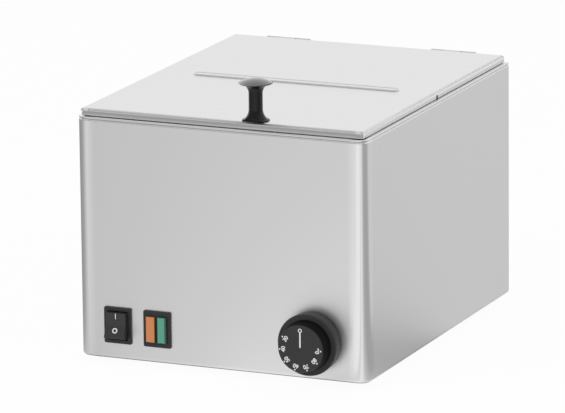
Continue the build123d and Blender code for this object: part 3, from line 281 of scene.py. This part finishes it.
def moulded(name, colour, roughness, grain=FINE_GRAIN, bump=GRAIN_BUMP, gloss=0.5, coat_above=None):
    """Moulded plastic or rubber: one colour with a very fine grain, faint unevenness and, above a
    height, a glossy coat."""
    shade = Shade(name)
    fine = shade.noise(shade.place, grain, 2.0)
    cloud = shade.noise(shade.place, CLOUD_SCALE, 2.0)
    coat = shade.rise(shade.axis("Z"), coat_above, coat_above + MM) if coat_above else 0.0
    return shade.finish(Base_Color=shade.between(cloud, tinted(colour, 0.9), tinted(colour, 1.1)),
                        Specular_IOR_Level=gloss, Coat_Weight=coat, Coat_Roughness=COAT_ROUGHNESS,
                        Coat_IOR=COAT_IOR,
                        Roughness=roughness - CLOUD_ROUGHER / 2 + CLOUD_ROUGHER * cloud,
                        Normal=shade.bump(fine, bump, GRAIN_DEPTH))


def dial_plastic():
    """Black plastic: a fine-grained face and skirt, with a duller wall between them that is darkened
    with painted shade.
    """
    shade = Shade("dial_plastic")
    fine = shade.noise(shade.place, FINE_GRAIN, 2.0)
    cloud = shade.noise(shade.place, CLOUD_SCALE, 2.0)
    depth = shade.axis("Y")
    skirt_front = dial_high.y - DIAL_SKIRT
    wall = (shade.rise(depth, dial_low.y + DIAL_EDGE, dial_low.y + 2 * DIAL_EDGE)
            * shade.rise(depth, skirt_front, skirt_front - DIAL_EDGE))
    plain = shade.between(cloud, grey(DIAL_DARK), grey(DIAL_LIGHT))
    # Painted shade: the wall between the face and the skirt is darkened almost to black
    return shade.finish(Base_Color=shade.between(wall, plain, grey(DIAL_WALL_SHADE)), Specular_IOR_Level=0.14,
                        Roughness=DIAL_ROUGHNESS + DIAL_WALL_ROUGHER * wall + DIAL_CLOUD_ROUGHER * cloud,
                        Normal=shade.bump(fine, GRAIN_BUMP, GRAIN_DEPTH))


def lens_face(shade, node, left, right):
    """1 on a lens's front face and 0 on its sides, which stand darker at the left and the right."""
    low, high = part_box(node)
    edges = [("X", low.x + left, LENS_FADE), ("X", high.x - right, -LENS_FADE),
             ("Z", high.z - LENS_TOP, -LENS_FADE), ("Z", low.z + LENS_FADE, LENS_FADE)]
    return prod(shade.rise(shade.axis(axis), place - fade, place + fade) for axis, place, fade in edges)


def tinted_lens(node, colour, left, right):
    """A tinted lens with a fine ribbed diffuser behind its face, and a faint painted glow."""
    shade = Shade(node)
    face = lens_face(shade, node, left, right)
    ribs = shade.node("ShaderNodeTexWave", {"bands_direction": "Z"},
                      {"Vector": shade.place, "Scale": LENS_RIBS, "Distortion": 0.0})
    ribbed = shade.between(ribs, tinted(colour, 0.82), tinted(colour, 1.15))
    tint = shade.between(face, tinted(colour, LENS_DEEP), ribbed)
    # Painted glow: the lens glows faintly in its own tint
    return shade.finish(Base_Color=tint, Roughness=0.22, Coat_Weight=0.6, Coat_Roughness=0.08,
                        Emission_Color=tint, Emission_Strength=LENS_PAINTED_GLOW)


def plain_metal(name, colour, roughness):
    """Turned or drawn metal with faint clouding."""
    shade = Shade(name)
    cloud = shade.noise(shade.place, 60.0, 3.0)
    return shade.finish(Base_Color=shade.between(cloud, tinted(colour, 0.92), tinted(colour, 1.06)),
                        Metallic=1.0, Roughness=roughness - CLOUD_ROUGHER / 2 + CLOUD_ROUGHER * cloud)


def fibre_mat():
    """Pale insulation of matted fibres."""
    shade = Shade("fibre_mat")
    fibres = shade.noise(shade.stretched((1.0, 1.0, 0.35)), 420.0, 5.0, 0.7)
    return shade.finish(Base_Color=shade.between(fibres, (0.62, 0.6, 0.52, 1), (0.9, 0.88, 0.8, 1)),
                        Roughness=0.95, Normal=shade.bump(fibres, 0.6, MM))


def neon_glass():
    """The thin warm glass of the two neons."""
    shade = Shade("neon_glass")
    cloud = shade.noise(shade.place, 200.0)
    return shade.finish(Base_Color=shade.between(cloud, (0.85, 0.5, 0.3, 1), (0.95, 0.7, 0.5, 1)),
                        Roughness=0.08, Alpha=0.6)


slot_materials = {
    "steel": brushed_steel("case_steel", 0.8, ALONG_X, 0.42, smooth_bends_and_foot_shade=True),
    "lid_steel": brushed_steel("lid_steel", 0.75, ALONG_X, leans_below=lid_low.z + LEAN_HEIGHT),
    "basin_steel": brushed_steel("basin_steel", 0.78, BASIN_GRAIN, 0.34),
    "basket_steel": brushed_steel("basket_steel", 0.8, BASKET_GRAIN, 0.32),
    "fastener_steel": plain_metal("fastener_steel", (0.6, 0.6, 0.61), 0.34),
    "element_steel": plain_metal("element_steel", (0.3, 0.29, 0.28), 0.5),
    "black_plastic": moulded("black_plastic", (0.022, 0.022, 0.023), 0.34, gloss=0.4),
    "rocker_plastic": moulded("rocker_plastic", (0.03, 0.03, 0.031), 0.36),
    "amber_plastic": tinted_lens("amber_lens", (0.62, 0.21, 0.06), 0.0, 0.2 * MM),
    "green_plastic": tinted_lens("green_lens", (0.06, 0.33, 0.23), 1.1 * MM, 1.2 * MM),
    "neon_glass": neon_glass(),
    "gland_plastic": moulded("gland_plastic", (0.035, 0.035, 0.035), 0.5),
    "cream_plastic": moulded("cream_plastic", (0.72, 0.69, 0.6), 0.45),
    "cutout_plastic": moulded("cutout_plastic", (0.06, 0.045, 0.04), 0.5),
    "foot_rubber": moulded("foot_rubber", (0.03, 0.03, 0.03), 0.75),
    "fibre_mat": fibre_mat(),
    "copper": plain_metal("copper", (0.75, 0.42, 0.3), 0.3),
    "brass": plain_metal("brass", (0.75, 0.58, 0.28), 0.32),
}
for part in frame["record"]["subparts"]:
    mesh = nodes[part["node"]].data
    mesh.materials.clear()
    mesh.materials.append(slot_materials[part["material_slot"]])

nodes["thermostat_dial"].material_slots[0].material = dial_plastic()
print_white = moulded("print_white", (0.9, 0.9, 0.9), 0.5)


def only(piece):
    """Make one object the selected and active one."""
    bpy.ops.object.select_all(action="DESELECT")
    piece.select_set(True)
    bpy.context.view_layer.objects.active = piece


def put(piece, matrix):
    """Move a piece's mesh, so that its object stays at the origin."""
    piece.data.transform(matrix)
    return piece


def front_place(place, turn=0.0, lean=0.0):
    """Stands a piece drawn flat on the XY plane up to face the viewer, turned and leant back."""
    return (Matrix.Translation(place) @ Matrix.Rotation(-lean, 4, "X")
            @ Matrix.Rotation(pi / 2, 4, "X") @ Matrix.Rotation(turn, 4, "Z"))


def shift_points(piece, chosen, shift=(0, 0, 0), factors=(1, 1, 1), centre=(0, 0, 0)):
    """Stretch the chosen points of a piece about a centre, then move them."""
    only(piece)
    bpy.ops.object.mode_set(mode="EDIT")
    bpy.ops.mesh.select_mode(type="VERT")
    bpy.ops.mesh.select_all(action="DESELECT")
    bpy.ops.object.mode_set(mode="OBJECT")
    for point in piece.data.vertices:
        point.select = chosen(point.co)
    bpy.ops.object.mode_set(mode="EDIT")
    bpy.ops.transform.resize(value=factors, center_override=centre)
    bpy.ops.transform.translate(value=shift)
    bpy.ops.object.mode_set(mode="OBJECT")


def pick_edges(piece, chosen):
    """Select only the edges whose two ends are both chosen, ready for edit mode."""
    mesh = piece.data
    bpy.ops.object.mode_set(mode="EDIT")
    bpy.ops.mesh.select_mode(type="EDGE")
    bpy.ops.mesh.select_all(action="DESELECT")
    bpy.ops.object.mode_set(mode="OBJECT")
    for edge in mesh.edges:
        edge.select = chosen(*[mesh.vertices[index].co for index in edge.vertices])
    bpy.ops.object.mode_set(mode="EDIT")


def weld(piece):
    """Join the points of the active piece that lie in one place."""
    bpy.ops.object.mode_set(mode="EDIT")
    bpy.ops.mesh.select_all(action="SELECT")
    bpy.ops.mesh.remove_doubles(threshold=WELD)
    bpy.ops.object.mode_set(mode="OBJECT")
    return piece


def fuller(node, name, body, slot, chosen, factors=(1, 1, 1), centre=(0, 0, 0), shift=(0, 0, 0),
           material=None, smooth=None):
    """A copy of a part in its place, with the chosen points stretched about a centre and shifted."""
    mesh = nodes[node].data.copy()
    piece = bpy.data.objects.new(name, mesh)
    bpy.context.scene.collection.objects.link(piece)
    mesh.materials.clear()
    mesh.materials.append(material or slot_materials[slot])
    only(piece)
    weld(piece)
    shift_points(piece, chosen, shift, factors, centre)
    if smooth:
        bpy.ops.object.shade_smooth_by_angle(angle=smooth)
    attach(piece, body)
    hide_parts(node)
    return piece


# Knob: its foot flares out wider on the lid, and its head has a glossy coat
KNOB_FOOT_WIDER = 25.2 / 23.0
KNOB_FOOT_HEIGHT = 1.2 * MM
KNOB_COATED = 4.6 * MM
KNOB_SMOOTH = radians(30.0)
knob_plastic = moulded("knob_plastic", (0.009, 0.009, 0.009), 0.13, grain=400.0, bump=0.02, gloss=0.25,
                       coat_above=knob_high.z - KNOB_COATED)
fuller("lid_knob", "knob", "lid", "black_plastic",
       lambda point: point.z < knob_low.z + KNOB_FOOT_HEIGHT,
       (KNOB_FOOT_WIDER, KNOB_FOOT_WIDER, 1.0), knob_centre, material=knob_plastic, smooth=KNOB_SMOOTH)

# Lid: its long bead is a fine raised line all round a slot, with no raised middle
BEAD_SETBACK = 175.2 * MM
BEAD_HALF = 98.0 * MM
BEAD_END = 4.5 * MM
BEAD_RISE = 0.8 * MM
BEAD_REACH = BEAD_END - 4 * NEAR
BEAD_LINE = 0.4 * MM
BEAD_TURNS = 32
BEAD_SIDES = 12
EDGE_LOWER = 0.4 * MM
lid_top = lid_high.z - BEAD_RISE
bead_y = case_low.y + BEAD_SETBACK


def on_bead(point):
    """True for the points of the lid's raised middle: its top, the roof of the pocket below it, and
    the foot of its slope, so that the sheet dips towards it."""
    reach = Vector((max(abs(point.x) - BEAD_HALF, 0.0), point.y - bead_y)).length
    return point.z > lid_top + NEAR or (point.z > lid_top - NEAR and reach < BEAD_REACH)


def bead_line():
    """A ring pulled out to the length of the bead."""
    bpy.ops.object.select_all(action="DESELECT")
    bpy.ops.mesh.primitive_torus_add(major_segments=BEAD_TURNS, minor_segments=BEAD_SIDES,
                                     major_radius=BEAD_END, minor_radius=BEAD_LINE,
                                     rotation=(0, 0, pi / BEAD_TURNS))
    piece = bpy.context.object
    bpy.ops.object.transform_apply(location=False, rotation=True, scale=False)
    for side in (1, -1):
        shift_points(piece, lambda point: side * point.x > 0, (side * BEAD_HALF, 0, 0))
    bpy.ops.object.shade_smooth()
    piece.name = "lid_bead"
    piece.data.materials.append(slot_materials["lid_steel"])
    put(piece, Matrix.Translation((0.0, bead_y, lid_top)))
    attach(piece, "lid")


# Lid's front corners: caps that close the sheet's open corners, rounded in plan and over the top
CORNER_ALONG = 7.5 * MM
CORNER_BACK = 3.7 * MM
CORNER_ROUND = 3.5 * MM
CORNER_EDGE = 2.4 * MM
ROUND_SEGMENTS = 8
EDGE_SEGMENTS = 5
CORNER_SMOOTH = radians(40.0)


def lid_corner(name, side):
    """A cap shaped at the right corner, and mirrored where the side is -1."""
    outer = Vector((max(side * lid_low.x, side * lid_high.x) + NEAR, lid_low.y - NEAR, lid_top + NEAR))
    size = Vector((CORNER_ALONG, CORNER_BACK, lid_top + NEAR - lid_low.z + EDGE_LOWER))
    bpy.ops.object.select_all(action="DESELECT")
    bpy.ops.mesh.primitive_cube_add(size=1.0)
    piece = bpy.context.object
    piece.scale = size
    piece.location = (outer.x - size.x / 2, outer.y + size.y / 2, outer.z - size.z / 2)
    bpy.ops.object.transform_apply(location=True, rotation=False, scale=True)
    pick_edges(piece, lambda a, b: all(p.x > outer.x - NEAR and p.y < outer.y + NEAR for p in (a, b)))
    bpy.ops.mesh.bevel(offset=CORNER_ROUND, segments=ROUND_SEGMENTS)
    pick_edges(piece, lambda a, b: all(p.z > outer.z - NEAR for p in (a, b))
               and not all(p.x < outer.x - size.x + NEAR for p in (a, b))
               and not all(p.y > outer.y + size.y - NEAR for p in (a, b)))
    bpy.ops.mesh.bevel(offset=CORNER_EDGE, segments=EDGE_SEGMENTS)
    bpy.ops.object.mode_set(mode="OBJECT")
    if side < 0:
        put(piece, Matrix.Scale(-1, 4, (1, 0, 0)))
        bpy.ops.object.mode_set(mode="EDIT")
        bpy.ops.mesh.select_all(action="SELECT")
        bpy.ops.mesh.normals_make_consistent(inside=False)
        bpy.ops.object.mode_set(mode="OBJECT")
    bpy.ops.object.shade_smooth_by_angle(angle=CORNER_SMOOTH)
    piece.name = name
    piece.data.materials.append(slot_materials["lid_steel"])
    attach(piece, "lid")


lid_sheet = fuller("lid_panel", "lid_sheet", "lid", "lid_steel", on_bead, shift=(0, 0, -BEAD_RISE))
shift_points(lid_sheet, lambda point: point.z < lid_low.z + NEAR, (0, 0, -EDGE_LOWER))
bead_line()
lid_corner("lid_corner_right", 1)
lid_corner("lid_corner_left", -1)

# Rocker: stands further out of its bezel and fills it
ROCKER_WIDER = 1.02
ROCKER_DEEPER = 1.14
fuller("switch_rocker", "rocker_key", "rocker", "rocker_plastic", lambda point: True,
       (ROCKER_WIDER, ROCKER_DEEPER, 1.0), (rocker_centre.x, rocker_high.y, rocker_centre.z))

# Print: thickness, sides of a round, rounding of a stroke's corners and boldness of a number
PRINT_THICKNESS = 0.06 * MM
DISC_SIDES = 48
STROKE_ROUND = 0.3
NUMBER_BOLDER = 0.03


def thickened(piece):
    """Give the drawing in edit mode its thickness, and leave edit mode."""
    bpy.ops.mesh.select_all(action="SELECT")
    bpy.ops.mesh.extrude_region_move(TRANSFORM_OT_translate={"value": (0, 0, PRINT_THICKNESS)})
    bpy.ops.mesh.select_all(action="SELECT")
    bpy.ops.mesh.normals_make_consistent(inside=False)
    bpy.ops.object.mode_set(mode="OBJECT")
    return piece


def flat_disc(radius, hole=0.0):
    """A printed disc or ring, drawn flat about the origin."""
    bpy.ops.object.select_all(action="DESELECT")
    bpy.ops.mesh.primitive_circle_add(vertices=DISC_SIDES, radius=radius, fill_type="NGON")
    bpy.ops.object.mode_set(mode="EDIT")
    bpy.ops.mesh.select_all(action="SELECT")
    if hole:
        bpy.ops.mesh.inset(thickness=radius - hole, depth=0.0)
        bpy.ops.mesh.delete(type="FACE")
    return thickened(bpy.context.object)


def flat_bar(width, height):
    """A printed stroke, drawn flat about the origin, with rounded corners."""
    bpy.ops.object.select_all(action="DESELECT")
    bpy.ops.mesh.primitive_plane_add(size=1.0)
    bpy.context.object.scale = (width, height, 1.0)
    bpy.ops.object.transform_apply(location=False, rotation=False, scale=True)
    bpy.ops.object.mode_set(mode="EDIT")
    bpy.ops.mesh.select_all(action="SELECT")
    bpy.ops.mesh.bevel(offset=STROKE_ROUND * width, segments=3, affect="VERTICES")
    return thickened(bpy.context.object)


def flat_number(text, size):
    """A printed number, drawn flat about the origin."""
    bpy.ops.object.select_all(action="DESELECT")
    bpy.ops.object.text_add()
    data = bpy.context.object.data
    data.body = text
    data.size = size
    data.align_x = "CENTER"
    data.align_y = "CENTER"
    data.extrude = PRINT_THICKNESS / 2
    data.offset = NUMBER_BOLDER * size
    bpy.ops.object.convert(target="MESH")
    return weld(bpy.context.object)


def printed(name, pieces, body):
    """Join placed prints into one piece that rides on a body."""
    only(pieces[0])
    for piece in pieces:
        piece.select_set(True)
    bpy.ops.object.join()
    joined = bpy.context.object
    joined.name = name
    joined.data.materials.clear()
    joined.data.materials.append(print_white)
    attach(joined, body)


# Dial: a long pointer with a ring for 0, and seven numbers with a dot outside each
DIAL_NUMBERS = range(30, 100, 10)
FIRST_NUMBER = radians(59.0)
NUMBER_STEP = radians(35.15)
NUMBER_RADIUS = 16.3 * MM
NUMBER_SIZE = 5.3 * MM
DOT_RADIUS_OUT = 19.9 * MM
DOT_RADIUS = 0.75 * MM
ZERO_RADIUS_OUT = 17.3 * MM
ZERO_OUTER = 1.9 * MM
ZERO_INNER = 1.1 * MM
POINTER_TOP = 15.6 * MM
POINTER_BOTTOM = 1.4 * MM
POINTER_WIDTH = 1.35 * MM


def around_dial(radius, angle):
    """A point on the dial's face, at an angle counted from the top against the clock."""
    return Vector((dial_centre.x - radius * sin(angle), dial_low.y, dial_centre.z + radius * cos(angle)))


def dial_print():
    """The pointer with its ring, the numbers and their dots."""
    pieces = [
        put(flat_disc(ZERO_OUTER, ZERO_INNER), front_place(around_dial(ZERO_RADIUS_OUT, 0.0))),
        put(flat_bar(POINTER_WIDTH, POINTER_TOP - POINTER_BOTTOM),
            front_place(around_dial((POINTER_TOP + POINTER_BOTTOM) / 2, 0.0))),
    ]
    for index, number in enumerate(DIAL_NUMBERS):
        angle = FIRST_NUMBER + index * NUMBER_STEP
        pieces.append(put(flat_number(str(number), NUMBER_SIZE),
                          front_place(around_dial(NUMBER_RADIUS, angle), angle)))
        pieces.append(put(flat_disc(DOT_RADIUS), front_place(around_dial(DOT_RADIUS_OUT, angle))))
    printed("dial_print", pieces, "dial")


# Rocker: I on the pressed upper facet, O on the lower one, which stands out at its lower end
ROCKER_TILT = radians(11.0)
FACET_LENGTH = 11.8 * MM
FACET_REACH = FACET_LENGTH * sin(2 * ROCKER_TILT)
FACET_LEAN = atan2(ROCKER_DEEPER * sin(2 * ROCKER_TILT), cos(2 * ROCKER_TILT))
I_HEIGHT = 5.2 * MM
I_WIDTH = 0.8 * MM
I_UP = 8.8 * MM
O_OUTER = 2.5 * MM
O_INNER = 1.5 * MM
O_DOWN = 4.6 * MM


def stood_out(y):
    """How deep a place on the part's face lies on the fuller rocker."""
    return rocker_high.y - ROCKER_DEEPER * (rocker_high.y - y)


def rocker_print():
    """The I and the O."""
    x = rocker_centre.x
    upper_y = rocker_low.y + FACET_REACH
    apex_z = rocker_high.z - FACET_LENGTH
    lower_y = upper_y - O_DOWN / FACET_LENGTH * FACET_REACH
    lower = Vector((x, stood_out(lower_y), apex_z - O_DOWN * cos(2 * ROCKER_TILT)))
    upper = Vector((x, stood_out(upper_y), apex_z + I_UP))
    printed("rocker_print", [
        put(flat_bar(I_WIDTH, I_HEIGHT), front_place(upper)),
        put(flat_disc(O_OUTER, O_INNER), front_place(lower, 0.0, FACET_LEAN)),
    ], "rocker")


# Studio: the floor's painted reflection levels round the object, counted against the clock from the
# back, and the sky's from level to overhead
FLOOR_SIZE = 60.0
FLOOR_SHOWN = 0.96
FLOOR_MATT = 0.95
FLOOR_PAINTED_REFLECTIONS = [(0.0, grey(0.34)), (1.0, grey(0.34)), (0.092, grey(0.42)), (0.172, grey(0.81)),
               (0.2, grey(0.85)), (0.228, grey(0.88)), (0.261, grey(1.0)), (0.317, grey(1.0)),
               (0.333, grey(0.76)), (0.353, grey(1.0)), (0.378, grey(0.6)), (0.417, grey(0.42)),
               (0.494, grey(0.43)), (0.561, grey(0.7)), (0.75, grey(0.72)), (0.911, grey(0.34))]
SKY_STOPS = [(0.0, grey(1.0)), (0.45, grey(1.0)), (0.9, grey(0.8))]
FRONT_STOPS = [(0.3, grey(0.38)), (0.6, grey(1.0))]
DARK_HEIGHT = 0.42
LIGHT_HEIGHT = 0.75
PLAIN_LEVEL = 0.55
LAMP_SIZE = 1.6
KEY_PLACE = (-1.2, -1.6, 2.2)
KEY_POWER = 22.0
FILL_PLACE = (2.2, -0.6, 1.4)
FILL_POWER = 12.0


def seen_rays(shade):
    """1 for the camera's own rays, and 1 for those by which metal and glass see the background."""
    camera, gloss, through = [shade.node("ShaderNodeLightPath", output=name) for name in
                              ("Is Camera Ray", "Is Glossy Ray", "Is Transmission Ray")]
    return camera, (gloss + through).math("MINIMUM", 1.0)


def pale_floor():
    """A floor that shows white and keeps the object's shadow, and that shows metal and glass painted
    bright and dark bands round the object, which give the case's panels and bent corners painted
    reflections with a highlight and a dark stripe.
    """
    bpy.ops.object.select_all(action="DESELECT")
    bpy.ops.mesh.primitive_plane_add(size=FLOOR_SIZE)
    floor = bpy.context.object
    floor.name = "floor"
    shade = Shade("floor_white")
    camera, mirror = seen_rays(shade)
    # Painted reflection: levels round the object that only reflecting rays see
    around = shade.node("ShaderNodeTexGradient", {"gradient_type": "RADIAL"}, {"Vector": shade.place},
                        output="Fac")
    level = shade.node("ShaderNodeValToRGB", {"stops": FLOOR_PAINTED_REFLECTIONS}, {"Fac": around})
    matt = shade.node("ShaderNodeBsdfDiffuse", {}, {"Color": grey(FLOOR_MATT)})
    white = shade.node("ShaderNodeEmission", {}, {"Color": grey(1.0), "Strength": 1.0})
    mirrored = shade.node("ShaderNodeEmission", {}, {"Color": level, "Strength": 1.0})
    either = shade.node("ShaderNodeMixShader", {}, {0: mirror, 1: white, 2: mirrored})
    shown = FLOOR_SHOWN * camera.math("MAXIMUM", mirror)
    mixed = shade.node("ShaderNodeMixShader", {}, {0: shown, 1: matt, 2: either})
    shade.node("ShaderNodeOutputMaterial", {}, {"Surface": mixed})
    floor.data.materials.append(shade.owner)


def studio_world():
    """White round the object and darker low in front of it, with a plain level for matt surfaces."""
    shade = Shade("studio", bpy.data.worlds)
    bpy.context.scene.world = shade.owner
    camera, mirror = seen_rays(shade)
    way = shade.node("ShaderNodeTexCoord", output="Generated")
    height = shade.axis("Z", way)
    back = shade.axis("Y", way)
    overhead = shade.node("ShaderNodeValToRGB", {"stops": SKY_STOPS}, {"Fac": height})
    behind = shade.node("ShaderNodeValToRGB", {"stops": FRONT_STOPS}, {"Fac": 0.5 + 0.5 * back})
    low = shade.rise(height, LIGHT_HEIGHT, DARK_HEIGHT)
    level = shade.node("ShaderNodeMix", {"data_type": "RGBA", "blend_type": "MULTIPLY"},
                       {0: low, 6: overhead, 7: behind}, output=2)
    plain = shade.node("ShaderNodeBackground", {}, {"Color": grey(1.0), "Strength": PLAIN_LEVEL})
    white = shade.node("ShaderNodeBackground", {}, {"Color": grey(1.0), "Strength": 1.0})
    mirrored = shade.node("ShaderNodeBackground", {}, {"Color": level, "Strength": 1.0})
    either = shade.node("ShaderNodeMixShader", {}, {0: mirror, 1: plain, 2: mirrored})
    shown = shade.node("ShaderNodeMixShader", {}, {0: camera, 1: either, 2: white})
    shade.node("ShaderNodeOutputWorld", {}, {"Surface": shown})


def soft_light(name, place, power):
    """A large square lamp that looks at the middle of the object."""
    data = bpy.data.lights.new(name, "AREA")
    data.shape = "SQUARE"
    data.size = LAMP_SIZE
    data.energy = power
    lamp = bpy.data.objects.new(name, data)
    lamp.visible_glossy = False
    bpy.context.scene.collection.objects.link(lamp)
    aim = Vector((0, 0, (case_low.z + case_high.z) / 2)) - Vector(place)
    lamp.matrix_world = Matrix.Translation(place) @ aim.to_track_quat("-Z", "Y").to_matrix().to_4x4()


add_camera()
pale_floor()
studio_world()
soft_light("key", KEY_PLACE, KEY_POWER)
soft_light("fill", FILL_PLACE, FILL_POWER)
dial_print()
rocker_print()

bpy.context.scene.view_settings.view_transform = "Standard"
